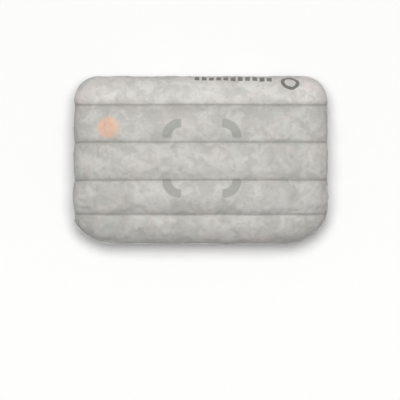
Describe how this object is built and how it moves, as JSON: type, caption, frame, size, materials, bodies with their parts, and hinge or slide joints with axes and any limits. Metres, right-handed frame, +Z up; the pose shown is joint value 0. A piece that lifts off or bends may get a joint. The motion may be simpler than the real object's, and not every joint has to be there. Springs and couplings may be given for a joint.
{
  "type": "inflatable camp pillow",
  "caption": "Inflatable camp pillow with a quilted, down-filled face, a welded edge, arc-shaped lock patches and a two-stage valve underneath.",
  "frame": {"origin": "on the resting plane, under the middle of the pillow's outline", "axes": "+X along the pillow's length, +Y from the neck edge to the far edge, +Z up through the quilted face"},
  "size_m": [0.43, 0.286, 0.119],
  "materials": {
    "face_fabric": "matte",
    "down": "matte",
    "chamber_fabric": "satin",
    "base_fabric": "matte",
    "weld_fabric": "satin",
    "lock_patch": "matte",
    "valve_plastic": "satin",
    "weld_film": "satin",
    "seal_rubber": "satin",
    "flap_silicone": "satin"
  },
  "bodies": {
    "pillow": {"face_panel": "face_fabric", "down_front": "down", "down_lower": "down", "down_middle": "down", "down_upper": "down", "down_back": "down", "bladder_top": "chamber_fabric", "base_panel": "base_fabric", "web_front": "chamber_fabric", "web_lower": "chamber_fabric", "web_upper": "chamber_fabric", "web_back": "chamber_fabric", "edge_weld": "weld_fabric", "lock_patch_back_right": "lock_patch", "lock_patch_back_left": "lock_patch", "lock_patch_front_left": "lock_patch", "lock_patch_front_right": "lock_patch", "valve_base": "valve_plastic", "valve_weld_ring": "weld_film", "plug_strap": "valve_plastic"},
    "plug": {"valve_plug": "valve_plastic", "plug_seal": "seal_rubber", "cap_strap": "valve_plastic"},
    "flap": {"check_flap": "flap_silicone"},
    "cap": {"valve_cap": "valve_plastic"}
  },
  "joints": [
    {"name": "plug_hinge", "type": "hinge", "parent": "pillow", "child": "plug", "pos_m": [-0.14397, 0.057, 0.00537], "axis": [0, -1, 0], "range_deg": [0, 100], "deforming": ["plug_strap"]},
    {"name": "cap_hinge", "type": "hinge", "parent": "plug", "child": "cap", "pos_m": [-0.15875, 0.0686, 0.00827], "axis": [0.9609, 0, -0.277], "range_deg": [0, 110], "deforming": ["cap_strap"]},
    {"name": "flap_lift", "type": "slide", "parent": "plug", "child": "flap", "axis": [0.277, 0, 0.9609], "range_m": [0, 0.0014], "stiffness_N_per_m": 4}
  ]
}
